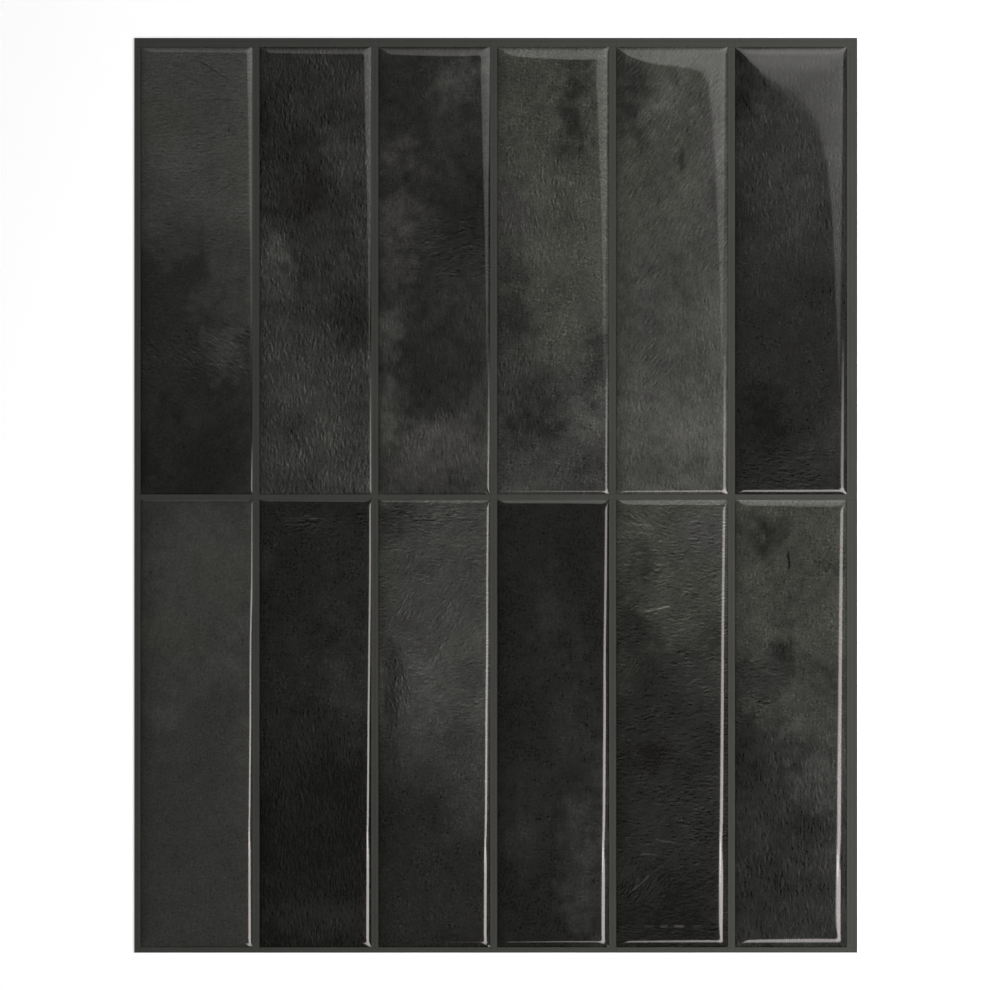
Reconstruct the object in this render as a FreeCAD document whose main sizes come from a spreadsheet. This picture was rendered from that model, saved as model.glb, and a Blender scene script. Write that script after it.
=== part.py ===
import FreeCAD, Part
import os
import Sketcher
import PartDesign

# Peel and stick backsplash sheet: twelve upright gel tiles, domed by surface tension,
# on one printed self-adhesive vinyl sheet whose bare strips read as grout, over the
# paper liner that is peeled off when the sheet is stuck up.
# Millimetres. The sheet lies flat: X runs across it, Y up it, +Z out of its glossy face.
# The origin is in the middle of the liner's underside.

COLUMNS = 6
ROWS = 2

DIMENSIONS = {
    # One gel tile, at its sharp foot on the vinyl
    "tile_width": 35.7,
    "tile_length": 143.0,
    # Printed grout strips left bare between the tiles
    "grout_between_columns": 2.3,
    "grout_between_rows": 1.75,
    # Bare edges of the sheet: the top and right ones are wider, for the next sheet to overlap
    "margin_left": 2.05,
    "margin_right": 3.35,
    "margin_bottom": 1.75,
    "margin_top": 2.9,
    # Layers
    "liner_thickness": 0.12,
    "vinyl_thickness": 0.4,
    # The dome: how high the gel stands, and how far in from the foot it levels out
    "dome_height": 1.5,
    "shoulder_width": 8.0,
}

# The shoulder is a quartic curve, steep at the foot and level where it meets the crown
SHOULDER_DEGREE = 4

WHOLE_WIDTH = (
    f"(sizes.margin_left + {COLUMNS} * sizes.tile_width"
    f" + {COLUMNS - 1} * sizes.grout_between_columns + sizes.margin_right)"
)
WHOLE_LENGTH = (
    f"(sizes.margin_bottom + {ROWS} * sizes.tile_length"
    f" + {ROWS - 1} * sizes.grout_between_rows + sizes.margin_top)"
)


def make_sizes(doc):
    """Put the driving dimensions into a spreadsheet, one named cell each."""
    sizes = doc.addObject("Spreadsheet::Sheet", "sizes")
    for row, (alias, value) in enumerate(DIMENSIONS.items(), start=1):
        sizes.set(f"A{row}", alias)
        sizes.set(f"B{row}", str(value))
        sizes.setAlias(f"B{row}", alias)
    doc.recompute()
    return sizes


def draw_rectangle(sketch, width, length):
    """Draw a rectangle centred on the sketch's origin and tie its two sizes to the sheet."""
    corners = [(-50, -60), (50, -60), (50, 60), (-50, 60)]
    points = [FreeCAD.Vector(x, y, 0) for x, y in corners]
    for start, end in zip(points, points[1:] + points[:1]):
        sketch.addGeometry(Part.LineSegment(start, end), False)
    for side in range(4):
        sketch.addConstraint(Sketcher.Constraint("Coincident", side, 2, (side + 1) % 4, 1))
    for side, direction in enumerate(["Horizontal", "Vertical", "Horizontal", "Vertical"]):
        sketch.addConstraint(Sketcher.Constraint(direction, side))
    sketch.addConstraint(Sketcher.Constraint("Symmetric", 0, 1, 2, 1, -1, 1))
    across = sketch.addConstraint(Sketcher.Constraint("DistanceX", 0, 1, 0, 2, 100))
    sketch.setExpression(f"Constraints[{across}]", width)
    along = sketch.addConstraint(Sketcher.Constraint("DistanceY", 1, 1, 1, 2, 120))
    sketch.setExpression(f"Constraints[{along}]", length)


def make_layer(doc, name, thickness, underside):
    """Pad one flat layer of the whole sheet, with its underside at the given height."""
    body = doc.addObject("PartDesign::Body", name)
    body.Label = name
    plane = next(feature for feature in body.Origin.OriginFeatures if feature.Role == "XY_Plane")
    sketch = body.newObject("Sketcher::SketchObject", f"{name}_outline")
    sketch.AttachmentSupport = [(plane, "")]
    sketch.MapMode = "FlatFace"
    draw_rectangle(sketch, WHOLE_WIDTH, WHOLE_LENGTH)
    pad = body.newObject("PartDesign::Pad", f"{name}_pad")
    pad.Profile = sketch
    pad.setExpression("Length", thickness)
    body.setExpression("Placement.Base.z", underside)
    return body


def dome_spans(size, shoulder):
    """Divide one side of a tile into its rising shoulder, its level crown and its falling shoulder.

    Each span is a row of poles, as their place along the side and their share of the full
    height. Only the outermost pole is down on the vinyl, which makes the curve steepest at
    the foot and lets it flow into the crown with no crease.
    """
    edge = size / 2
    steps = range(SHOULDER_DEGREE + 1)
    rising = [(-edge + shoulder * step / SHOULDER_DEGREE, min(step, 1)) for step in steps]
    crown = [(-edge + shoulder, 1), (edge - shoulder, 1)]
    falling = [(-place, share) for place, share in reversed(rising)]
    return rising, crown, falling


def dome_patch(across, along, height):
    """Make the patch of gel surface over one span across the tile and one along it."""
    surface = Part.BezierSurface()
    surface.increase(len(across) - 1, len(along) - 1)
    for column, (x, share_across) in enumerate(across, start=1):
        for row, (y, share_along) in enumerate(along, start=1):
            pole = FreeCAD.Vector(x, y, height * share_across * share_along)
            surface.setPole(column, row, pole)
    return surface.toShape()


def foot_face(across, along):
    """Make the flat underside, split at the same places as the patches that end on it."""
    xs = [across[0][0][0], across[1][0][0], across[2][0][0], across[2][-1][0]]
    ys = [along[0][0][0], along[1][0][0], along[2][0][0], along[2][-1][0]]
    there = [(x, ys[0]) for x in xs] + [(xs[-1], y) for y in ys[1:]]
    back = [(x, ys[-1]) for x in xs[-2::-1]] + [(xs[0], y) for y in ys[-2::-1]]
    return Part.Face(Part.makePolygon([FreeCAD.Vector(x, y, 0) for x, y in there + back]))


def dome_solid(sizes):
    """Make the solid of one gel tile, centred over its foot.

    The gel is poured on as a liquid. It stops at the sharp edge of its printed tile and draws
    itself up into a smooth pillow, so its height at a point is its rise across the tile times
    its rise along it, and its contours grow rounder from the square foot up to the crown.
    """
    across = dome_spans(sizes.tile_width, sizes.shoulder_width)
    along = dome_spans(sizes.tile_length, sizes.shoulder_width)
    patches = [dome_patch(a, b, sizes.dome_height) for a in across for b in along]
    shell = Part.Shell(patches + [foot_face(across, along)])
    shell.sewShape()
    return Part.Solid(shell)


def make_gel_tile(doc, name, solid, row, column):
    """Place one gel tile on the vinyl, counted from the top left one."""
    tile = doc.addObject("Part::Feature", name)
    tile.Label = name
    tile.Shape = solid
    tile.setExpression(
        "Placement.Base.x",
        f"-{WHOLE_WIDTH} / 2 + sizes.margin_left + sizes.tile_width / 2"
        f" + {column} * (sizes.tile_width + sizes.grout_between_columns)",
    )
    tile.setExpression(
        "Placement.Base.y",
        f"{WHOLE_LENGTH} / 2 - sizes.margin_top - sizes.tile_length / 2"
        f" - {row} * (sizes.tile_length + sizes.grout_between_rows)",
    )
    tile.setExpression("Placement.Base.z", "sizes.liner_thickness + sizes.vinyl_thickness")
    return tile


def check(doc, pieces):
    """Stop if any feature failed or any piece is not one sound solid."""
    for feature in doc.Objects:
        if "Invalid" in feature.State or "Error" in feature.State:
            raise RuntimeError(f"{feature.Name} did not build: {feature.State}")
    for piece in pieces:
        shape = piece.Shape
        if shape.isNull() or not shape.isValid() or len(shape.Solids) != 1 or shape.Volume <= 0:
            raise RuntimeError(f"{piece.Label} is not one sound solid")


def main():
    doc = FreeCAD.newDocument("backsplash_sheet")
    sizes = make_sizes(doc)
    pieces = [
        make_layer(doc, "release_liner", "sizes.liner_thickness", "0"),
        make_layer(doc, "printed_vinyl_sheet", "sizes.vinyl_thickness", "sizes.liner_thickness"),
    ]
    solid = dome_solid(sizes)
    for row in range(ROWS):
        for column in range(COLUMNS):
            name = f"gel_tile_r{row + 1}_c{column + 1}"
            pieces.append(make_gel_tile(doc, name, solid, row, column))
    doc.recompute()
    check(doc, pieces)
    os.makedirs("parts", exist_ok=True)
    for piece in pieces:
        piece.Shape.exportStep(f"parts/{piece.Label}.step")
        box = piece.Shape.BoundBox
        size = f"{box.XLength:.2f} x {box.YLength:.2f} x {box.ZLength:.2f} mm"
        print(f"{piece.Label}: {size}, {piece.Shape.Volume / 1000:.2f} cm3")


main()
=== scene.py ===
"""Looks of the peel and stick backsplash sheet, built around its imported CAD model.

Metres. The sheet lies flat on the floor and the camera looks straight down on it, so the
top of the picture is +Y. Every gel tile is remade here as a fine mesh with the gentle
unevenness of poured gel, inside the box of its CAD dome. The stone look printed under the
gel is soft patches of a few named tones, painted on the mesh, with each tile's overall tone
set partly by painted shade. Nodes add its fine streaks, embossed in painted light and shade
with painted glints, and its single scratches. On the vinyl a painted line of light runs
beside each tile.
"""
import math

import bpy
import numpy as np
from mathutils import Matrix, Vector


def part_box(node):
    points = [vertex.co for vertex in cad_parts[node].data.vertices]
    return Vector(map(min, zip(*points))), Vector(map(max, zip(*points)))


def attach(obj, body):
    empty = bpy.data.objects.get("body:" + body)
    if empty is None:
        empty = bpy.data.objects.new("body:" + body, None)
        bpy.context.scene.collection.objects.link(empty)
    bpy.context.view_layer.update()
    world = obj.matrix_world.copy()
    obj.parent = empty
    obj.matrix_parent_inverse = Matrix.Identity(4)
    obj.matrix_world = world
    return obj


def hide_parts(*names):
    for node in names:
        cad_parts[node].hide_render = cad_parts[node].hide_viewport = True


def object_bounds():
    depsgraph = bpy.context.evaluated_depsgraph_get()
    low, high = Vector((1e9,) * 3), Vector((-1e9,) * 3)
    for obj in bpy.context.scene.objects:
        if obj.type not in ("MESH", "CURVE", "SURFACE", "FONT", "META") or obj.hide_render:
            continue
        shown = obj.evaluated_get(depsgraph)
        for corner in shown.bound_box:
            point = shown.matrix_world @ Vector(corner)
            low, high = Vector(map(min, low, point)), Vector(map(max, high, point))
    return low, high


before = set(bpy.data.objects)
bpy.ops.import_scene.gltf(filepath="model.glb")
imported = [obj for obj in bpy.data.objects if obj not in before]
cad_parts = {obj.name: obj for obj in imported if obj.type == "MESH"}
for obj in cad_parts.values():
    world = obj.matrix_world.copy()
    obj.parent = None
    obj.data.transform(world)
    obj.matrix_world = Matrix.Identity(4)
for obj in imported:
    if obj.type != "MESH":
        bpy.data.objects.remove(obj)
CAD_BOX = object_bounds()

MM = 0.001
ROWS = 2
COLUMNS = 6

# Shape of the gel: a shoulder that flattens within a few millimetres, then a slow crown
SHOULDER_REACH = 2.55 * MM
SHOULDER_RISE = 1.4 * MM
CROWN_RISE = 0.08 * MM
# Sharpness of the mitre where two shoulders meet at a corner, and the samples of its curve
MITRE = 4.0
MITRE_SAMPLES = 400
# Near the foot the corner is round instead: its radius, how deep in it has mostly grown to
# that radius, and the depths between which it gives way to the mitre
CORNER_RADIUS = 1.2 * MM
CORNER_START = 0.4 * MM
CORNER_FADE = (2.0 * MM, 5.5 * MM)
# Unevenness of the poured surface, in height and in how far the shoulder reaches in
SWELL_HEIGHT = 0.008 * MM
SWELL_LENGTH = 16 * MM
REACH_VARIATION = 0.07
REACH_WAVELENGTH = 24 * MM
# Spacing of the mesh lines, at the foot and over the crown
FINE_STEP = 0.13 * MM
COARSE_STEP = 0.8 * MM
STEP_GROWTH = 1.09
# Edges that turn by more than this stay sharp
SHARP_ANGLE = math.radians(60)

# View: the camera's height over the sheet, the width that the picture covers there, and how
# far the camera is off the middle of the sheet
CAMERA_HEIGHT = 0.8
PICTURE_WIDTH = 316.4 * MM
CAMERA_OFFSET = (-0.24 * MM, 0.10 * MM)
SENSOR_WIDTH = 36.0

# Strip lamp that shows in the gel as thin lines: its radiance, its colour, the points that its
# two lengths hang between, the widths of their lamps, and pairs of a height and the strip's half
# width there as a share of that height
STRIP_RADIANCE = 10.1
STRIP_COLOUR = (1.0, 0.935, 0.925, 1)
STRIP_TOP = (0.55, 0.09, 0.42)
STRIP_JOINT = (0.585, -0.251, 0.80)
STRIP_FAR = (-0.083, -4.3, 4.065)
STRIP_WIDTHS = (0.55, 2.4)
STRIP_SPREADS = ((0.4, 0.26), (0.6, 0.22), (0.8, 0.17), (1.7, 0.14), (2.0, 0.14))
# The strip's cross-section falls off softly between these shares of its half width
STRIP_SIDES = (0.5, 1.05)
# Pairs of a distance along each length of the strip and the share of the radiance there
UPPER_FADE = (
    (0.0, 0.0), (0.10, 0.45), (0.16, 0.59), (0.25, 0.68), (0.34, 0.80), (0.43, 0.93), (0.511, 1.0),
)
LOWER_FADE = (
    (0.0, 1.0), (0.5, 0.88), (1.84, 0.57), (2.54, 0.36), (3.0, 0.13), (3.5, 0.0), (4.99, 0.0),
)

# Panel lamp that shows in the gel as broad bands: its colour, its height, its depth and span,
# and its near edge, which is the line y = start - slope * x, moved by a bulge at some x. The
# lamp itself starts a little before that line.
PANEL_COLOUR = (1.0, 0.985, 0.955, 1)
PANEL_HEIGHT = 0.373
PANEL_SIZE = (0.95, 1.7)
PANEL_SLOPE = 0.812
PANEL_START = 0.315
PANEL_BULGE = (
    (-0.4, 0.0), (0.03, 0.0), (0.10, 0.016), (0.15, 0.015), (0.22, 0.004), (0.30, 0.0), (0.6, 0.0),
)
PANEL_OVERHANG = 0.05
# Stretches over which its light fades: across the near line, along x less a share of y at the
# right, and along y far out, with the share of the light that is left there
PANEL_NEAR_FADE = (-0.004, 0.012)
PANEL_SLANT = 0.86
PANEL_RIGHT_FADE = (0.25, 0.33)
PANEL_FAR_FADE = (0.45, 0.80)
PANEL_FAR_SHARE = 0.15
# Its radiance grows with x and with y, and two stretches, each by its steps along y and x, add
# to it. A step is where it starts and ends, and its height at both
PANEL_ACROSS = (-0.10, 0.40, 0.80, 1.38)
PANEL_UP = (0.06, 0.22, 0.58, 1.20)
PANEL_UPPER = ((0.19, 0.26, 0.0, 1.0), (-0.12, 0.09, 0.0, 0.90))
PANEL_BRIGHT = ((0.33, 0.42, 0.0, 1.0), (0.09, 0.14, 0.0, 0.85))

# Other light: the soft lamp to the right, the floor's own glow and the surround
SIDE_LAMP_PLACE = (0.45, -0.08, 0.5)
SIDE_LAMP_SIZE = (0.3, 0.5)
SIDE_LAMP_RADIANCE = 8.8
FLOOR_HALF = 3.0
FLOOR_GLOW = 0.56
FLOOR_GAP = 0.02 * MM
SURROUND_LIGHT = 0.24
# Heights of a direction between which the white horizon fades, and what is left above it
HORIZON_FADE = (0.12, 0.22)
HORIZON_LEFT = 0.02

# Tones of the print, as linear colours
TONES = {
    "jet": (0.0198, 0.0198, 0.0183),
    "coal": (0.0288, 0.0287, 0.0264),
    "umber": (0.0175, 0.0166, 0.0155),
    "iron": (0.0408, 0.0408, 0.0377),
    "slate": (0.0559, 0.0562, 0.0518),
    "plum": (0.0564, 0.0548, 0.0528),
    "olive": (0.0729, 0.0755, 0.0638),
    "ash": (0.0753, 0.0757, 0.0700),
    "violet": (0.0765, 0.0753, 0.0737),
    "dove": (0.0988, 0.0993, 0.0927),
}

# Streaks of the print run upright, level, rising or falling to the right, or every way
GRAINS = {
    "upright": (1, 0, 0, 0),
    "level": (0, 1, 0, 0),
    "rising": (0, 0, 1, 0),
    "falling": (0, 0, 0, 1),
    "mixed": (0.5, 0.35, 0.35, 0.35),
}

# Each tile: how light it is overall, partly its ink and partly painted shade for how the lamps
# light it, the tones at its top and bottom and the share of its height where they meet, how
# mottled it is, its streaks above and below, and how strong they are.
# Then soft patches of tone: place across and up, half sizes, all as shares of the tile, and
# the tone. Then patches of streaks: the same four shares, the kind and the strength.
PRINTS = {
    "r1_c1": {
        "ink_and_shade": 1.02, "tones": ("ash", "coal", 0.56), "mottle": 0.45,
        "grain": ("level", "mixed"), "painted_relief": 0.55,
        "patches": (
            (0.30, 0.46, 0.45, 0.08, "coal"),
            (0.82, 0.42, 0.22, 0.10, "slate"),
            (0.50, 0.04, 0.60, 0.14, "jet"),
            (0.20, 0.84, 0.16, 0.04, "olive"),
            (0.90, 0.75, 0.12, 0.05, "olive"),
        ),
        "streaks": (
            (0.45, 0.92, 0.35, 0.04, "level", 0.5),
            (0.50, 0.30, 0.50, 0.06, "falling", 1.1),
        ),
    },
    "r1_c2": {
        "ink_and_shade": 1.22, "tones": ("coal", "iron", 0.34), "mottle": 1.0,
        "grain": ("upright", "upright"), "painted_relief": 1.25,
        "patches": (
            (0.20, 0.79, 0.30, 0.09, "jet"),
            (0.68, 0.75, 0.16, 0.06, "iron"),
            (0.35, 0.69, 0.25, 0.06, "jet"),
            (0.42, 0.68, 0.16, 0.06, "umber"),
            (0.22, 0.35, 0.25, 0.10, "iron"),
            (0.86, 0.42, 0.20, 0.11, "jet"),
            (0.10, 0.52, 0.16, 0.07, "slate"),
            (0.80, 0.10, 0.26, 0.08, "iron"),
        ),
        "streaks": (
            (0.50, 0.45, 0.10, 0.30, "upright", 1.0),
        ),
    },
    "r1_c3": {
        "ink_and_shade": 1.15, "tones": ("coal", "iron", 0.20), "mottle": 1.0,
        "grain": ("mixed", "upright"), "painted_relief": 0.7,
        "patches": (
            (0.70, 0.93, 0.22, 0.05, "slate"),
            (0.20, 0.61, 0.20, 0.12, "plum"),
            (0.76, 0.62, 0.26, 0.14, "jet"),
            (0.45, 0.31, 0.30, 0.14, "jet"),
            (0.07, 0.33, 0.09, 0.12, "slate"),
            (0.06, 0.13, 0.07, 0.05, "olive"),
            (0.50, 0.09, 0.35, 0.06, "plum"),
        ),
        "streaks": (
            (0.70, 0.55, 0.40, 0.08, "level", 1.2),
            (0.55, 0.12, 0.40, 0.06, "upright", 0.9),
        ),
    },
    "r1_c4": {
        "ink_and_shade": 0.93, "tones": ("olive", "slate", 0.42), "mottle": 0.75,
        "grain": ("mixed", "mixed"), "painted_relief": 1.1,
        "patches": (
            (0.69, 0.83, 0.14, 0.11, "coal"),
            (0.16, 0.62, 0.15, 0.12, "plum"),
            (0.15, 0.38, 0.20, 0.11, "iron"),
            (0.25, 0.17, 0.24, 0.08, "coal"),
            (0.85, 0.17, 0.16, 0.05, "dove"),
            (0.90, 0.30, 0.10, 0.08, "iron"),
            (0.62, 0.40, 0.24, 0.12, "olive"),
            (0.70, 0.05, 0.24, 0.04, "iron"),
        ),
        "streaks": (
            (0.35, 0.66, 0.30, 0.10, "upright", 1.2),
            (0.20, 0.25, 0.20, 0.10, "upright", 1.2),
        ),
    },
    "r1_c5": {
        "ink_and_shade": 0.93, "tones": ("olive", "ash", 0.30), "mottle": 0.9,
        "grain": ("rising", "upright"), "painted_relief": 0.7,
        "patches": (
            (0.14, 0.89, 0.16, 0.09, "iron"),
            (0.50, 0.87, 0.16, 0.07, "dove"),
            (0.86, 0.72, 0.12, 0.20, "violet"),
            (0.58, 0.74, 0.03, 0.02, "coal"),
            (0.30, 0.46, 0.10, 0.06, "violet"),
            (0.30, 0.31, 0.12, 0.10, "plum"),
            (0.20, 0.15, 0.15, 0.08, "dove"),
            (0.72, 0.13, 0.26, 0.10, "dove"),
            (0.45, 0.45, 0.40, 0.20, "ash"),
        ),
        "streaks": (
            (0.30, 0.35, 0.20, 0.20, "rising", 0.8),
        ),
    },
    "r1_c6": {
        "ink_and_shade": 0.71, "tones": ("iron", "coal", 0.45), "mottle": 0.8,
        "grain": ("upright", "mixed"), "painted_relief": 0.9,
        "patches": (
            (0.08, 0.93, 0.14, 0.08, "jet"),
            (0.40, 0.76, 0.35, 0.14, "slate"),
            (0.25, 0.18, 0.20, 0.06, "jet"),
            (0.75, 0.11, 0.25, 0.06, "iron"),
        ),
        "streaks": (
            (0.85, 0.70, 0.20, 0.20, "upright", 1.1),
            (0.40, 0.05, 0.50, 0.05, "level", 1.3),
        ),
    },
    "r2_c1": {
        "ink_and_shade": 0.83, "tones": ("slate", "slate", 0.50), "mottle": 0.35,
        "grain": ("mixed", "mixed"), "painted_relief": 0.5,
        "patches": (
            (0.50, 0.80, 0.45, 0.25, "ash"),
            (0.72, 0.83, 0.20, 0.05, "olive"),
            (0.25, 0.70, 0.25, 0.04, "olive"),
            (0.62, 0.50, 0.22, 0.07, "slate"),
        ),
        "streaks": (),
    },
    "r2_c2": {
        "ink_and_shade": 0.70, "tones": ("coal", "jet", 0.48), "mottle": 0.8,
        "grain": ("mixed", "upright"), "painted_relief": 1.1,
        "patches": (
            (0.08, 0.87, 0.09, 0.04, "iron"),
            (0.75, 0.62, 0.25, 0.12, "iron"),
            (0.20, 0.52, 0.20, 0.06, "coal"),
            (0.60, 0.06, 0.40, 0.05, "coal"),
            (0.60, 0.48, 0.20, 0.03, "coal"),
        ),
        "streaks": (
            (0.50, 0.95, 0.30, 0.03, "level", 1.6),
        ),
    },
    "r2_c3": {
        "ink_and_shade": 0.78, "tones": ("ash", "coal", 0.38), "mottle": 0.7,
        "grain": ("level", "mixed"), "painted_relief": 1.0,
        "patches": (
            (0.10, 0.95, 0.18, 0.04, "iron"),
            (0.12, 0.56, 0.07, 0.12, "iron"),
            (0.45, 0.56, 0.16, 0.07, "dove"),
            (0.10, 0.83, 0.10, 0.06, "olive"),
            (0.45, 0.78, 0.20, 0.08, "violet"),
            (0.80, 0.40, 0.20, 0.08, "slate"),
        ),
        "streaks": (
            (0.55, 0.95, 0.40, 0.03, "level", 1.5),
            (0.50, 0.75, 0.35, 0.12, "rising", 1.0),
            (0.15, 0.60, 0.12, 0.10, "upright", 1.3),
        ),
    },
    "r2_c4": {
        "ink_and_shade": 0.88, "tones": ("jet", "jet", 0.50), "mottle": 0.7,
        "grain": ("mixed", "mixed"), "painted_relief": 0.8,
        "patches": (
            (0.50, 0.72, 0.16, 0.08, "coal"),
            (0.75, 0.50, 0.25, 0.12, "coal"),
            (0.78, 0.20, 0.22, 0.14, "iron"),
            (0.30, 0.30, 0.20, 0.10, "coal"),
        ),
        "streaks": (),
    },
    "r2_c5": {
        "ink_and_shade": 0.74, "tones": ("olive", "coal", 0.70), "mottle": 0.8,
        "grain": ("level", "level"), "painted_relief": 1.1,
        "patches": (
            (0.30, 0.84, 0.18, 0.05, "iron"),
            (0.12, 0.70, 0.20, 0.06, "coal"),
            (0.65, 0.82, 0.28, 0.10, "olive"),
            (0.80, 0.93, 0.20, 0.04, "violet"),
            (0.35, 0.43, 0.14, 0.03, "umber"),
            (0.70, 0.62, 0.20, 0.06, "iron"),
            (0.45, 0.08, 0.45, 0.10, "jet"),
        ),
        "streaks": (
            (0.20, 0.95, 0.25, 0.04, "falling", 1.3),
            (0.20, 0.62, 0.20, 0.05, "rising", 1.3),
            (0.30, 0.15, 0.20, 0.05, "rising", 1.5),
            (0.75, 0.28, 0.18, 0.06, "level", 1.5),
        ),
    },
    "r2_c6": {
        "ink_and_shade": 0.69, "tones": ("olive", "iron", 0.55), "mottle": 1.0,
        "grain": ("mixed", "upright"), "painted_relief": 1.0,
        "patches": (
            (0.27, 0.93, 0.12, 0.04, "coal"),
            (0.42, 0.66, 0.15, 0.05, "coal"),
            (0.20, 0.60, 0.22, 0.05, "iron"),
            (0.18, 0.40, 0.25, 0.10, "coal"),
            (0.75, 0.38, 0.22, 0.12, "ash"),
            (0.55, 0.28, 0.40, 0.07, "coal"),
            (0.35, 0.15, 0.40, 0.09, "coal"),
            (0.65, 0.06, 0.25, 0.05, "iron"),
        ),
        "streaks": (
            (0.20, 0.58, 0.25, 0.06, "level", 1.6),
            (0.45, 0.20, 0.35, 0.08, "upright", 1.3),
        ),
    },
}

# Single scratches and dashes of the print: the tile, the places of both ends across and up,
# the half width, and the share by which the print is lighter or darker there
SCRATCHES = (
    ("r1_c1", (0.51, 0.971), (0.82, 0.922), 0.40 * MM, -0.50),
    ("r1_c1", (0.53, 0.971), (0.80, 0.928), 0.30 * MM, 0.25),
    ("r1_c1", (0.60, 0.883), (0.88, 0.879), 0.30 * MM, -0.35),
    ("r1_c1", (0.63, 0.663), (0.85, 0.700), 0.35 * MM, -0.35),
    ("r1_c1", (0.79, 0.820), (0.80, 0.806), 0.50 * MM, -0.50),
    ("r1_c6", (0.89, 0.946), (0.99, 0.957), 0.40 * MM, -0.50),
    ("r2_c2", (0.39, 0.965), (0.46, 0.963), 0.50 * MM, 1.00),
    ("r2_c2", (0.20, 0.958), (0.65, 0.958), 0.35 * MM, 1.10),
    ("r2_c2", (0.25, 0.945), (0.54, 0.946), 0.30 * MM, 0.80),
    ("r2_c3", (0.27, 0.954), (0.53, 0.955), 0.40 * MM, -0.55),
    ("r2_c3", (0.62, 0.958), (0.92, 0.954), 0.35 * MM, -0.45),
    ("r2_c5", (0.06, 0.948), (0.35, 0.942), 0.35 * MM, 0.70),
    ("r2_c5", (0.06, 0.930), (0.32, 0.924), 0.35 * MM, 0.70),
    ("r2_c5", (0.25, 0.751), (0.50, 0.764), 0.60 * MM, 1.50),
    ("r2_c5", (0.66, 0.789), (0.74, 0.784), 0.70 * MM, -0.60),
    ("r2_c5", (0.11, 0.121), (0.32, 0.168), 0.38 * MM, 2.20),
    ("r2_c5", (0.31, 0.166), (0.51, 0.205), 0.38 * MM, 0.70),
    ("r2_c5", (0.21, 0.209), (0.37, 0.209), 0.35 * MM, 1.80),
    ("r2_c5", (0.32, 0.242), (0.54, 0.235), 0.45 * MM, 1.40),
    ("r2_c5", (0.24, 0.048), (0.34, 0.048), 0.55 * MM, 1.60),
    ("r2_c5", (0.39, 0.048), (0.47, 0.049), 0.60 * MM, 3.00),
    ("r2_c5", (0.51, 0.049), (0.61, 0.048), 0.60 * MM, 3.80),
    ("r2_c5", (0.68, 0.049), (0.76, 0.048), 0.55 * MM, 1.40),
    ("r2_c6", (0.47, 0.884), (0.48, 0.843), 0.75 * MM, -0.80),
)

# Mottling of the print: pairs of a wavelength and a share of the tone
MOTTLES = ((11 * MM, 0.20), (4.5 * MM, 0.11), (1.9 * MM, 0.17))
# Ragged edge of a patch: pairs of a wavelength and a share of its half size, and the shares
# of its half size between which it fades out
RAGS = ((9 * MM, 0.50), (4 * MM, 0.40), (1.8 * MM, 0.45))
PATCH_FADE = (0.1, 1.7)
# How far the border between a tile's two tones wanders, over what length, and how soft it is
TONE_WANDER = 0.10
TONE_WANDER_LENGTH = 14 * MM
TONE_BLEND = 0.16
# The same for its two kinds of streaks, which meet between two shares of its height
GRAIN_WANDER = 0.1
GRAIN_WANDER_LENGTH = 9 * MM
GRAIN_MEET = (0.4, 0.6)
# Noise on arrays: it repeats after this many cells, and its uses are kept apart by their seeds,
# counted from the tile's own, and by shifts in cells
LATTICE = 64
FIRST_SEED = 1000
SEEDS_PER_TILE = 100
PATCH_SEED = 20
MOTTLE_SEED = 60
STREAK_SEED = 80
SWELL_SEED = 500
MOTTLE_SHIFT = 5
REACH_SHIFT = 8
SWELL_SHIFT = 40
# Rim of each tile, where its colour darkens to a line at the gel's foot
RIM_WIDTH = 0.5 * MM
RIM_SHADE = 0.62
# Streaks: their size, the squeeze along them that draws them out, the step between their painted
# light and dark sides, how strong they are, the directions of their four kinds, and how far they
# and the scratches bend over what length
STROKE_SIZE = 0.85 * MM
STROKE_SQUEEZE = 0.36
STROKE_STEP = (0.30 * MM, 0.04 * MM, 0)
STROKE_ROUGHNESS = 0.6
STROKE_STRENGTH = 5.0
STROKE_ANGLES = (0.0, math.radians(90), math.radians(35), math.radians(-60))
BEND_LENGTH = 3 * MM
BEND_REACH = 1.1 * MM
SCRATCH_BEND = 0.8
# Shares of a scratch's half length between which it fades out
SCRATCH_FADE = (0.55, 1.1)
# Patches in which the streaks come and go: size, then the stretch of noise and the shares
PATCHY_SIZE = 3.2 * MM
PATCHY_STEP = (0.36, 0.66, 0.55, 1.6)
# Painted glint on the highest streaks, and fine grit over them all
GLINT_START = 0.45
GLINT_STRENGTH = 1.3
GRIT_SIZE = 0.7 * MM
GRIT_STRENGTH = 3.0
# How much all of these, painted light and shade among them, lighten or darken the tone, and the darkest
# share of it
PAINTED_RELIEF_CONTRAST = 0.36
DARKEST_SHARE = 0.4
# Fine ripple of the gel's surface
RIPPLE_LENGTH = 1.6 * MM
RIPPLE_HEIGHT = 0.004 * MM

# Vinyl: its tone, its fine tooth and its clouds with their shares of the tone, and the painted
# line of light beside the tiles, by where it starts, is lightest and ends and by how much it is lighter
VINYL_TONE = (0.0460, 0.0475, 0.0420)
TOOTH_SIZE = 0.7 * MM
TOOTH_SHARE = 0.30
TOOTH_HEIGHT = 0.02 * MM
CLOUD_SIZE = 16 * MM
CLOUD_SHARE = 0.25
PAINTED_LIGHT_LINE = (0.05 * MM, 0.55 * MM, 1.05 * MM)
PAINTED_LIGHT_LINE_SHARE = 0.22
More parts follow.
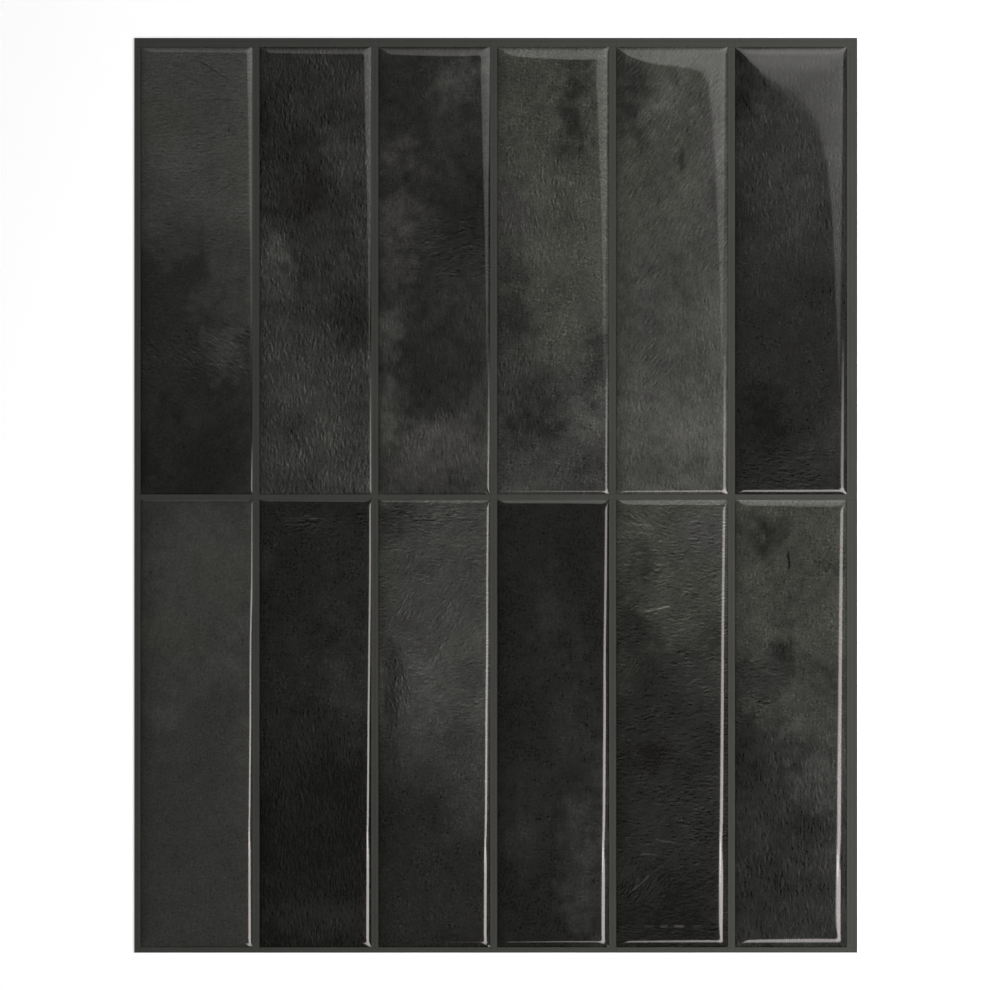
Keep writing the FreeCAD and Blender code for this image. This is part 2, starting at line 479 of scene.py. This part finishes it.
# Liner paper: its tone, its fibres with the squeeze that draws them out, and its clouds
PAPER_TONE = (0.72, 0.69, 0.62)
FIBRE_SIZE = 1.2 * MM
FIBRE_SQUEEZE = 0.3
FIBRE_SHARE = 0.12
FIBRE_HEIGHT = 0.015 * MM
PAPER_CLOUD_SIZE = 20 * MM
PAPER_CLOUD_SHARE = 0.08
PAPER_DARKEST = 0.9


def smooth_step(value, low, high):
    """Share from 0 to 1 of the way from low to high, with soft ends."""
    share = np.clip((value - low) / (high - low), 0, 1)
    return share * share * (3 - 2 * share)


def value_noise(x, y, seed):
    """Smooth noise between -1 and 1 on arrays of places measured in cells."""
    rng = np.random.default_rng(seed)
    lattice = rng.uniform(-1, 1, (LATTICE, LATTICE))
    column = np.floor(x).astype(int)
    row = np.floor(y).astype(int)
    u = x - column
    v = y - row
    u = u * u * (3 - 2 * u)
    v = v * v * (3 - 2 * v)
    left, right = column % LATTICE, (column + 1) % LATTICE
    low, high = row % LATTICE, (row + 1) % LATTICE
    near = lattice[left, low] * (1 - u) + lattice[right, low] * u
    far = lattice[left, high] * (1 - u) + lattice[right, high] * u
    return near * (1 - v) + far * v


def graded_places(length):
    """Places of the mesh lines from foot to foot, close together near both ends."""
    places = [0.0]
    step = FINE_STEP
    while places[-1] + step < length / 2:
        places.append(places[-1] + step)
        step = min(step * STEP_GROWTH, COARSE_STEP)
    half = np.array(places) * (length / 2) / (places[-1] + step)
    return np.concatenate([half, [length / 2], length - half[::-1]])


def rise(distance, reach, half):
    """Share of the shoulder's height and of the crown's at a distance in from the foot."""
    shoulder = 1 - np.exp(-distance / reach)
    crown = 1 - (1 - np.minimum(distance, half) / half) ** 2
    return shoulder, crown


def mitre_power_sum(first, second):
    """Lesser of two shares, with a soft mitre between them, before it is scaled."""
    return first + second - (first ** MITRE + second ** MITRE) ** (1 / MITRE)


def mitre(across, along):
    """Join the two shoulder shares at a mitred corner, with each one kept along its own side."""
    steps = np.linspace(0, 1, MITRE_SAMPLES)
    full = mitre_power_sum(1.0, 1.0)
    kept = mitre_power_sum(steps, 1.0) / full
    across = np.interp(across, kept, steps)
    along = np.interp(along, kept, steps)
    return mitre_power_sum(across, along) / full


def round_corner(across, along):
    """Join the two shoulder shares with contours that turn the corner in an arc."""
    depths = [-SHOULDER_REACH * np.log(np.maximum(1 - share, 1e-9)) for share in (across, along)]
    nearest = np.minimum(*depths)
    apart = np.abs(depths[0] - depths[1])
    radius = CORNER_RADIUS * (1 - np.exp(-nearest / CORNER_START))
    chord = (apart + np.sqrt(np.maximum(2 * radius ** 2 - apart ** 2, 0))) / 2
    depth = np.where(apart < radius, nearest - radius + chord, nearest)
    return 1 - np.exp(-depth / SHOULDER_REACH), nearest


def gel_heights(x, y, width, length, place, seed):
    """Heights of the gel over the vinyl on a grid of places within one tile."""
    shoulders = [np.ones_like(x), np.ones_like(x)]
    crown = np.ones_like(x)
    sides = (
        (0, x, y, width / 2),
        (0, width - x, y, width / 2),
        (1, y, x, length / 2),
        (1, length - y, x, length / 2),
    )
    for number, (axis, distance, along, half) in enumerate(sides):
        shift = np.full_like(along, REACH_SHIFT * number)
        wave = value_noise(along / REACH_WAVELENGTH, shift, seed + number)
        reach = SHOULDER_REACH * (1 + REACH_VARIATION * wave)
        shoulder_share, crown_share = rise(distance, reach, half)
        shoulders[axis] = shoulders[axis] * shoulder_share
        crown = crown * crown_share
    shoulder = mitre(*shoulders)
    rounded, nearest = round_corner(*shoulders)
    shoulder = shoulder + (rounded - shoulder) * (1 - smooth_step(nearest, *CORNER_FADE))
    swell_x = (place[0] + x) / SWELL_LENGTH + SWELL_SHIFT
    swell_y = (place[1] + y) / SWELL_LENGTH + SWELL_SHIFT
    swell = value_noise(swell_x, swell_y, SWELL_SEED + seed)
    return SHOULDER_RISE * shoulder + CROWN_RISE * crown + SWELL_HEIGHT * swell * shoulder


def patch_share(u, v, patch, x, y, seed):
    """Soft share of a patch, with a ragged edge."""
    across, up, half_across, half_up = patch[:4]
    ragged = np.zeros_like(x)
    for number, (wave, strength) in enumerate(RAGS):
        ragged += strength * value_noise(x / wave, y / wave, seed + number)
    away = np.hypot((u - across) / half_across, (v - up) / half_up) + ragged
    return 1 - smooth_step(away, *PATCH_FADE)


def print_colours(x, y, width, length, print_plan, seed):
    """Linear colours of the print on a grid of places within one tile, partly painted shade."""
    u, v = x / width, y / length
    upper, lower, meet = print_plan["tones"]
    wander = TONE_WANDER * value_noise(x / TONE_WANDER_LENGTH, y / TONE_WANDER_LENGTH, seed + 1)
    share = smooth_step(v + wander, meet - TONE_BLEND, meet + TONE_BLEND)[..., None]
    colour = np.array(TONES[upper]) * share + np.array(TONES[lower]) * (1 - share)
    for number, patch in enumerate(print_plan["patches"]):
        share = patch_share(u, v, patch, x, y, seed + PATCH_SEED + 2 * number)[..., None]
        colour = colour * (1 - share) + np.array(TONES[patch[4]]) * share
    mottle = np.zeros_like(x)
    for number, (wave, strength) in enumerate(MOTTLES):
        cells = (x / wave + MOTTLE_SHIFT, y / wave + MOTTLE_SHIFT)
        mottle += strength * value_noise(*cells, seed + MOTTLE_SEED + number)
    colour = colour * (1 + print_plan["mottle"] * mottle[..., None])
    # Painted shade: the tile's tone is scaled partly for its ink and partly for how the lamps light it
    colour = colour * print_plan["ink_and_shade"]
    # The colour darkens to a line in a thin rim at the foot
    foot = np.minimum(np.minimum(x, width - x), np.minimum(y, length - y))
    rim = RIM_SHADE + (1 - RIM_SHADE) * smooth_step(foot, 0.3 * RIM_WIDTH, RIM_WIDTH)
    return colour * rim[..., None]


def print_grains(x, y, width, length, print_plan, seed):
    """Strengths of the four directions of streaks on a grid of places within one tile."""
    u, v = x / width, y / length
    upper, lower = (np.array(GRAINS[kind], float) for kind in print_plan["grain"])
    wander = GRAIN_WANDER * value_noise(x / GRAIN_WANDER_LENGTH, y / GRAIN_WANDER_LENGTH, seed + 2)
    share = smooth_step(v + wander, *GRAIN_MEET)[..., None]
    grain = (upper * share + lower * (1 - share)) * print_plan["painted_relief"]
    for number, patch in enumerate(print_plan["streaks"]):
        share = patch_share(u, v, patch, x, y, seed + STREAK_SEED + 2 * number)[..., None]
        grain = grain * (1 - share) + np.array(GRAINS[patch[4]], float) * patch[5] * share
    return grain


def add_point_colours(mesh, name, values):
    """Store four numbers for every point of a mesh."""
    layer = mesh.attributes.new(name, "FLOAT_COLOR", "POINT")
    flat = values.reshape(-1, values.shape[-1])
    if flat.shape[1] == 3:
        flat = np.concatenate([flat, np.ones((len(flat), 1))], axis=1)
    layer.data.foreach_set("color", flat.astype(np.float32).ravel())


def gel_tile_mesh(name, low, high, print_plan, seed):
    """Make the closed mesh of one gel tile between two corners of its box."""
    width = high[0] - low[0]
    length = high[1] - low[1]
    x, y = np.meshgrid(graded_places(width), graded_places(length), indexing="ij")
    height = gel_heights(x, y, width, length, low, seed)
    height[0, :] = 0
    height[-1, :] = 0
    height[:, 0] = 0
    height[:, -1] = 0
    height = np.clip(height, 0, high[2] - low[2])
    columns, rows = x.shape
    points = np.stack([low[0] + x, low[1] + y, low[2] + height], axis=-1).reshape(-1, 3)
    index = np.arange(columns * rows).reshape(columns, rows)
    quads = np.stack([index[:-1, :-1], index[1:, :-1], index[1:, 1:], index[:-1, 1:]], axis=-1)
    rim = np.concatenate([index[0, :], index[1:, -1], index[-1, -2::-1], index[-2:0:-1, 0]])
    mesh = bpy.data.meshes.new(name)
    mesh.from_pydata(points.tolist(), [], quads.reshape(-1, 4).tolist() + [rim.tolist()])
    mesh.polygons.foreach_set("use_smooth", [True] * len(mesh.polygons))
    mesh.set_sharp_from_angle(angle=SHARP_ANGLE)
    add_point_colours(mesh, "print", print_colours(x, y, width, length, print_plan, seed))
    add_point_colours(mesh, "grain", print_grains(x, y, width, length, print_plan, seed))
    return mesh


class Tree:
    """Short ways to add nodes to a material's, lamp's or world's tree."""

    def __init__(self, tree):
        self.nodes = tree.nodes
        self.links = tree.links

    def feed(self, socket, value):
        if isinstance(value, bpy.types.NodeSocket):
            self.links.new(value, socket)
        else:
            socket.default_value = value

    def add(self, kind, inputs=None, **settings):
        node = self.nodes.new(kind)
        for name, value in settings.items():
            setattr(node, name, value)
        for name, value in (inputs or {}).items():
            self.feed(node.inputs[name], value)
        return node

    def math(self, operation, first, second=0.0, clamp=False):
        node = self.add("ShaderNodeMath", {0: first, 1: second}, operation=operation, use_clamp=clamp)
        return node.outputs[0]

    def vector(self, operation, first, second):
        """Vector arithmetic. The answer of a dot product is a plain number."""
        slot = "Scale" if operation == "SCALE" else 1
        node = self.add("ShaderNodeVectorMath", {0: first, slot: second}, operation=operation)
        return node.outputs["Value" if operation == "DOT_PRODUCT" else "Vector"]

    def step(self, value, start, end, low=0.0, high=1.0):
        """Soft step of a value between two places."""
        inputs = {"Value": value, "From Min": start, "From Max": end, "To Min": low, "To Max": high}
        node = self.add("ShaderNodeMapRange", inputs, interpolation_type="SMOOTHSTEP")
        return node.outputs["Result"]

    def curve(self, value, points):
        """A curve through points, each a place and the height there."""
        start, end = points[0][0], points[-1][0]
        share = self.math("DIVIDE", self.math("SUBTRACT", value, start), end - start, clamp=True)
        node = self.add("ShaderNodeFloatCurve", {"Value": share})
        line = node.mapping.curves[0]
        places = [((place - start) / (end - start), height) for place, height in points]
        line.points[0].location = places[0]
        line.points[1].location = places[-1]
        for place in places[1:-1]:
            line.points.new(*place)
        node.mapping.update()
        return node.outputs["Value"]

    def squeeze(self, vector, share):
        """Squeeze a place along Y, which draws out what is made from it."""
        inputs = {"Vector": vector, "Scale": (1.0, share, 1.0)}
        return self.add("ShaderNodeMapping", inputs).outputs[0]

    def noise(self, vector, size, detail=2.0, roughness=0.5):
        inputs = {"Vector": vector, "Scale": 1 / size, "Detail": detail, "Roughness": roughness}
        return self.add("ShaderNodeTexNoise", inputs)

    def noise_value(self, vector, size, detail=2.0, roughness=0.5):
        return self.noise(vector, size, detail, roughness).outputs["Fac"]

    def bump(self, height, distance):
        inputs = {"Height": height, "Distance": distance, "Strength": 1.0}
        return self.add("ShaderNodeBump", inputs).outputs["Normal"]

    def place(self):
        return self.add("ShaderNodeTexCoord").outputs["Object"]


def principled(name):
    """Make a material and hand back its tree and its shader."""
    material = bpy.data.materials.new(name)
    material.use_nodes = True
    return material, Tree(material.node_tree), material.node_tree.nodes["Principled BSDF"]


def streak_field(tree, place, angle, warp):
    """Fine strokes drawn out one way, with painted light on one side and painted shade on the other."""
    turning = {"Vector": place, "Angle": angle}
    turned = tree.add("ShaderNodeVectorRotate", turning, rotation_type="Z_AXIS").outputs[0]
    drawn = tree.squeeze(tree.vector("ADD", turned, warp), STROKE_SQUEEZE)
    # Painted emboss: the print is lighter on one side of each stroke and darker on the other, as if lit
    # from one side
    aside = tree.vector("ADD", drawn, STROKE_STEP)
    lit = tree.noise_value(drawn, STROKE_SIZE, roughness=STROKE_ROUGHNESS)
    shaded = tree.noise_value(aside, STROKE_SIZE, roughness=STROKE_ROUGHNESS)
    return tree.math("MULTIPLY", tree.math("SUBTRACT", lit, shaded), STROKE_STRENGTH)


def scratch_tone(tree, place, spot):
    """Tone of the single scratches and dashes of one tile, as a share of the print's own."""
    total = 1.0
    low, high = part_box(f"gel_tile_{spot}")
    for owner, first, last, half_width, strength in SCRATCHES:
        if owner != spot:
            continue
        start, end = (
            Vector((low[0] + across * (high[0] - low[0]), low[1] + up * (high[1] - low[1]), 0))
            for across, up in (first, last)
        )
        along = (end - start).normalized()
        sideways = Vector((-along.y, along.x, 0))
        fade_start, fade_end = (share * (end - start).length / 2 for share in SCRATCH_FADE)
        offset = tree.vector("SUBTRACT", place, (start + end) / 2)
        onward = tree.math("ABSOLUTE", tree.vector("DOT_PRODUCT", offset, along))
        aside = tree.math("ABSOLUTE", tree.vector("DOT_PRODUCT", offset, sideways))
        length_share = tree.step(onward, fade_start, fade_end, 1.0, 0.0)
        mark = tree.math("MULTIPLY", tree.step(aside, 0.0, half_width, strength, 0.0), length_share)
        total = tree.math("ADD", mark, total)
    return total


def gel_material(spot):
    """Clear gloss gel over a matt print: a coat on a painted base, streaked in painted light and shade.
    """
    material, tree, shader = principled(f"gel_over_print_{spot}")
    place = tree.place()
    wander = tree.noise(place, BEND_LENGTH, detail=1.0).outputs["Color"]
    bend = tree.vector("SCALE", tree.vector("SUBTRACT", wander, (0.5, 0.5, 0.5)), BEND_REACH)
    # Streaks in the four directions, in painted light and shade, each as strong as the painted grain
    # says
    grain = tree.add("ShaderNodeAttribute", attribute_name="grain")
    split = tree.add("ShaderNodeSeparateColor", {0: grain.outputs["Color"]})
    strengths = (split.outputs[0], split.outputs[1], split.outputs[2], grain.outputs["Alpha"])
    painted_relief = None
    for strength, angle in zip(strengths, STROKE_ANGLES):
        part = tree.math("MULTIPLY", streak_field(tree, place, angle, bend), strength)
        painted_relief = part if painted_relief is None else tree.math("ADD", painted_relief, part)
    # They come and go in patches, their highest parts get a painted glint, and fine grit lies over them
    # all
    patchy = tree.noise_value(place, PATCHY_SIZE, roughness=0.6)
    painted_relief = tree.math("MULTIPLY", painted_relief, tree.step(patchy, *PATCHY_STEP))
    peaks = tree.math("MAXIMUM", tree.math("SUBTRACT", painted_relief, GLINT_START), 0.0)
    glint = tree.math("MULTIPLY", peaks, GLINT_STRENGTH)
    pebble = tree.noise_value(place, GRIT_SIZE, roughness=0.7)
    grit = tree.math("MULTIPLY", tree.math("SUBTRACT", pebble, 0.5), GRIT_STRENGTH)
    painted_relief = tree.math("ADD", tree.math("ADD", painted_relief, glint), grit)
    tone = tree.math("ADD", tree.math("MULTIPLY", painted_relief, PAINTED_RELIEF_CONTRAST), 1.0)
    tone = tree.math("MAXIMUM", tone, DARKEST_SHARE)
    bent = tree.vector("ADD", place, tree.vector("SCALE", bend, SCRATCH_BEND))
    tone = tree.math("MULTIPLY", tone, scratch_tone(tree, bent, spot))
    painted = tree.add("ShaderNodeAttribute", attribute_name="print").outputs["Color"]
    tree.feed(shader.inputs["Base Color"], tree.vector("SCALE", painted, tone))
    ripple = tree.noise_value(place, RIPPLE_LENGTH, detail=1.0)
    tree.feed(shader.inputs["Coat Normal"], tree.bump(ripple, RIPPLE_HEIGHT))
    shader.inputs["Roughness"].default_value = 0.5
    shader.inputs["Specular IOR Level"].default_value = 0.0
    shader.inputs["Coat Weight"].default_value = 1.0
    shader.inputs["Coat Roughness"].default_value = 0.05
    shader.inputs["Coat IOR"].default_value = 1.5
    return material


def rim_distance(tree, value, starts, span, pitch):
    """Distance along one axis to the nearest edge of a tile, where tiles repeat at a pitch."""
    along = tree.math("SUBTRACT", value, starts)
    inner = tree.math("WRAP", along, pitch)
    inner.node.inputs[2].default_value = 0.0
    from_start = tree.math("PINGPONG", inner, pitch / 2)
    from_end = tree.math("ABSOLUTE", tree.math("SUBTRACT", inner, span))
    return tree.math("MINIMUM", from_start, from_end)


def vinyl_material():
    """Satin printed vinyl, with a fine line of painted light beside the edges of the tiles."""
    material, tree, shader = principled("printed_vinyl")
    place = tree.place()
    tooth = tree.noise_value(place, TOOTH_SIZE, detail=4.0, roughness=0.7)
    cloud = tree.noise_value(place, CLOUD_SIZE)
    split = tree.add("ShaderNodeSeparateXYZ", {0: place})
    first_low, first_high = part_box("gel_tile_r2_c1")
    last_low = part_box("gel_tile_r1_c6")[0]
    edges = []
    for axis, count in enumerate((COLUMNS, ROWS)):
        pitch = (last_low[axis] - first_low[axis]) / (count - 1)
        span = first_high[axis] - first_low[axis]
        edges.append(rim_distance(tree, split.outputs[axis], first_low[axis], span, pitch))
    nearest = tree.math("MINIMUM", *edges)
    # Painted light: a fine lighter line on the vinyl beside the foot of every tile
    line_start, line_middle, line_end = PAINTED_LIGHT_LINE
    inner = tree.step(nearest, line_start, line_middle)
    outer = tree.step(nearest, line_middle, line_end, 1.0, 0.0)
    shade = tree.math("MULTIPLY", tree.math("MULTIPLY", inner, outer), PAINTED_LIGHT_LINE_SHARE)
    for field, strength in ((tooth, TOOTH_SHARE), (cloud, CLOUD_SHARE)):
        part = tree.math("MULTIPLY", tree.math("SUBTRACT", field, 0.5), strength)
        shade = tree.math("ADD", shade, part)
    shade = tree.math("ADD", shade, 1.0)
    tree.feed(shader.inputs["Base Color"], tree.vector("SCALE", VINYL_TONE, shade))
    tree.feed(shader.inputs["Normal"], tree.bump(tooth, TOOTH_HEIGHT))
    shader.inputs["Roughness"].default_value = 0.6
    shader.inputs["Specular IOR Level"].default_value = 0.25
    return material


def paper_material():
    """Silicone-coated liner paper with faint fibres."""
    material, tree, shader = principled("liner_paper")
    place = tree.place()
    drawn = tree.squeeze(place, FIBRE_SQUEEZE)
    fibre = tree.noise_value(drawn, FIBRE_SIZE, detail=5.0, roughness=0.7)
    cloud = tree.noise_value(place, PAPER_CLOUD_SIZE)
    fibres = tree.math("MULTIPLY", fibre, FIBRE_SHARE)
    clouds = tree.math("MULTIPLY", cloud, PAPER_CLOUD_SHARE)
    shade = tree.math("ADD", tree.math("ADD", fibres, clouds), PAPER_DARKEST)
    tree.feed(shader.inputs["Base Color"], tree.vector("SCALE", PAPER_TONE, shade))
    tree.feed(shader.inputs["Normal"], tree.bump(fibre, FIBRE_HEIGHT))
    shader.inputs["Roughness"].default_value = 0.5
    return material


def make_tiles():
    """Put a fine gel dome in the place of each CAD one."""
    for row in range(ROWS):
        for column in range(COLUMNS):
            spot = f"r{row + 1}_c{column + 1}"
            node = f"gel_tile_{spot}"
            low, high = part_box(node)
            seed = FIRST_SEED + SEEDS_PER_TILE * (row * COLUMNS + column)
            mesh = gel_tile_mesh(f"{node}_dome", low, high, PRINTS[spot], seed)
            mesh.materials.append(gel_material(spot))
            piece = bpy.data.objects.new(f"{node}_dome", mesh)
            bpy.context.scene.collection.objects.link(piece)
            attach(piece, "root")
            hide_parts(node)


def dress_nodes():
    """Give the vinyl and the liner, which stay as packed, their materials."""
    materials = {"printed_vinyl_sheet": vinyl_material(), "release_liner": paper_material()}
    for node, material in materials.items():
        piece = bpy.data.objects[node]
        for slot in piece.material_slots:
            slot.material = material


def seen_ray(tree):
    """1 for rays that come from the camera, a mirror or glass."""
    path = tree.add("ShaderNodeLightPath")
    direct = tree.math("ADD", path.outputs["Is Camera Ray"], path.outputs["Is Glossy Ray"], clamp=True)
    return tree.math("ADD", direct, path.outputs["Is Transmission Ray"], clamp=True)


def make_floor():
    """White floor under the sheet, which keeps its shadow."""
    mesh = bpy.data.meshes.new("floor")
    corners = [(x * FLOOR_HALF, y * FLOOR_HALF, 0) for x, y in ((-1, -1), (1, -1), (1, 1), (-1, 1))]
    mesh.from_pydata(corners, [], [(0, 1, 2, 3)])
    floor = bpy.data.objects.new("floor", mesh)
    floor.location.z = CAD_BOX[0][2] - FLOOR_GAP
    bpy.context.scene.collection.objects.link(floor)
    material, tree, shader = principled("floor_white")
    shader.inputs["Base Color"].default_value = (0.8, 0.8, 0.8, 1)
    shader.inputs["Roughness"].default_value = 0.9
    shader.inputs["Emission Color"].default_value = (1, 1, 1, 1)
    tree.feed(shader.inputs["Emission Strength"], tree.math("MULTIPLY", seen_ray(tree), FLOOR_GLOW))
    mesh.materials.append(material)


def area_light(name, turn, size):
    """A flat lamp placed by a matrix, whose nodes give its radiance. It hands back its tree too."""
    lamp = bpy.data.lights.new(name, "AREA")
    lamp.shape = "RECTANGLE"
    lamp.size, lamp.size_y = size
    # With this energy the strength of the emission node is the radiance
    lamp.energy = size[0] * size[1] * math.pi
    lamp.use_nodes = True
    thing = bpy.data.objects.new(name, lamp)
    thing.matrix_world = turn
    thing.visible_camera = False
    bpy.context.scene.collection.objects.link(thing)
    return thing, Tree(lamp.node_tree), lamp.node_tree.nodes["Emission"]


def lamp_place(tree):
    """X and Y in the scene of a point on a lamp."""
    split = tree.add("ShaderNodeSeparateXYZ", {0: tree.add("ShaderNodeNewGeometry").outputs["Position"]})
    return split.outputs[0], split.outputs[1]


def make_panel():
    """Large dim panel past the upper right corner. Its near edge shows in the gel as a line."""
    facing = math.atan2(1.0, PANEL_SLOPE)
    near = PANEL_START / math.hypot(1.0, PANEL_SLOPE)
    middle = near - PANEL_OVERHANG + PANEL_SIZE[0] / 2
    centre = (middle * math.cos(facing), middle * math.sin(facing), PANEL_HEIGHT)
    turn = Matrix.Translation(centre) @ Matrix.Rotation(facing, 4, "Z")
    thing, tree, emission = area_light("upper_panel", turn, PANEL_SIZE)
    thing.visible_diffuse = False
    x, y = lamp_place(tree)
    # Where the panel ends: a sharp near edge, a soft slanted right one and a slow fade far out
    bulge = tree.curve(x, PANEL_BULGE)
    line = tree.math("ADD", tree.math("ADD", y, tree.math("MULTIPLY", x, PANEL_SLOPE)), bulge)
    near_edge = tree.step(line, PANEL_START + PANEL_NEAR_FADE[0], PANEL_START + PANEL_NEAR_FADE[1])
    slant = tree.math("SUBTRACT", x, tree.math("MULTIPLY", y, PANEL_SLANT))
    right_edge = tree.step(slant, *PANEL_RIGHT_FADE, 1.0, 0.0)
    far_edge = tree.step(y, *PANEL_FAR_FADE, 1.0, PANEL_FAR_SHARE)
    mask = tree.math("MULTIPLY", tree.math("MULTIPLY", near_edge, right_edge), far_edge)
    # How bright it is: more to the right and upwards, with two brighter stretches
    radiance = tree.math("MULTIPLY", tree.step(x, *PANEL_ACROSS), tree.step(y, *PANEL_UP))
    for up, across in (PANEL_UPPER, PANEL_BRIGHT):
        stretch = tree.math("MULTIPLY", tree.step(y, *up), tree.step(x, *across))
        radiance = tree.math("ADD", radiance, stretch)
    emission.inputs["Color"].default_value = PANEL_COLOUR
    tree.feed(emission.inputs["Strength"], tree.math("MULTIPLY", radiance, mask))


def slanted_strip(name, start, end, width, fade):
    """Soft strip lamp from one point to another, wider where it hangs higher."""
    start, end = Vector(start), Vector(end)
    along = (end - start).normalized()
    across = along.cross(Vector((0, 0, 1))).normalized()
    turn = Matrix((across, along, across.cross(along))).transposed().to_4x4()
    turn.translation = (start + end) / 2
    thing, tree, emission = area_light(name, turn, (width, (end - start).length))
    place = tree.add("ShaderNodeNewGeometry").outputs["Position"]
    offset = tree.vector("SUBTRACT", place, start)
    aside = tree.vector("DOT_PRODUCT", offset, across)
    onward = tree.vector("DOT_PRODUCT", offset, along)
    up = tree.add("ShaderNodeSeparateXYZ", {0: place}).outputs[2]
    half_width = tree.math("MULTIPLY", up, tree.curve(up, STRIP_SPREADS))
    share = tree.math("DIVIDE", tree.math("ABSOLUTE", aside), half_width)
    bell = tree.step(share, *STRIP_SIDES, 1.0, 0.0)
    radiance = tree.math("MULTIPLY", tree.curve(onward, fade), STRIP_RADIANCE)
    emission.inputs["Color"].default_value = STRIP_COLOUR
    tree.feed(emission.inputs["Strength"], tree.math("MULTIPLY", bell, radiance))
    return thing


def make_strips():
    """Bright strip in two lengths, past the right edge of the sheet and on away below it."""
    slanted_strip("right_strip", STRIP_TOP, STRIP_JOINT, STRIP_WIDTHS[0], UPPER_FADE)
    thing = slanted_strip("lower_strip", STRIP_JOINT, STRIP_FAR, STRIP_WIDTHS[1], LOWER_FADE)
    thing.visible_diffuse = False


def make_side_lamp():
    """Soft lamp to the right, which lights the print but doesn't show in the gel."""
    thing, _, emission = area_light("side_lamp", Matrix.Translation(SIDE_LAMP_PLACE), SIDE_LAMP_SIZE)
    thing.visible_glossy = False
    emission.inputs["Strength"].default_value = SIDE_LAMP_RADIANCE


def make_world():
    """Even light from all round. The camera sees white, and the gel mirrors it near the horizon."""
    world = bpy.data.worlds.new("studio")
    bpy.context.scene.world = world
    world.use_nodes = True
    world.node_tree.nodes.clear()
    tree = Tree(world.node_tree)
    out = tree.add("ShaderNodeOutputWorld")
    plain = tree.add("ShaderNodeBackground", {"Color": (1, 1, 1, 1), "Strength": SURROUND_LIGHT})
    direction = tree.add("ShaderNodeTexCoord").outputs["Generated"]
    up = tree.add("ShaderNodeSeparateXYZ", {0: direction}).outputs["Z"]
    horizon = tree.step(up, *HORIZON_FADE, 1.0, HORIZON_LEFT)
    camera = tree.add("ShaderNodeLightPath").outputs["Is Camera Ray"]
    strength = tree.math("MAXIMUM", horizon, camera)
    white = tree.add("ShaderNodeBackground", {"Color": (1, 1, 1, 1), "Strength": strength})
    mix = tree.add("ShaderNodeMixShader", {0: seen_ray(tree), 1: plain.outputs[0], 2: white.outputs[0]})
    tree.feed(out.inputs["Surface"], mix.outputs[0])


def make_camera():
    """Camera straight above the sheet."""
    camera = bpy.data.cameras.new("camera")
    camera.sensor_width = SENSOR_WIDTH
    camera.lens = SENSOR_WIDTH * CAMERA_HEIGHT / PICTURE_WIDTH
    thing = bpy.data.objects.new("camera", camera)
    vinyl_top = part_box("printed_vinyl_sheet")[1][2]
    thing.location = (*CAMERA_OFFSET, vinyl_top + CAMERA_HEIGHT)
    bpy.context.scene.collection.objects.link(thing)
    bpy.context.scene.camera = thing


bpy.context.scene.view_settings.view_transform = "Standard"
make_camera()
make_world()
make_panel()
make_strips()
make_side_lamp()
make_floor()
make_tiles()
dress_nodes()
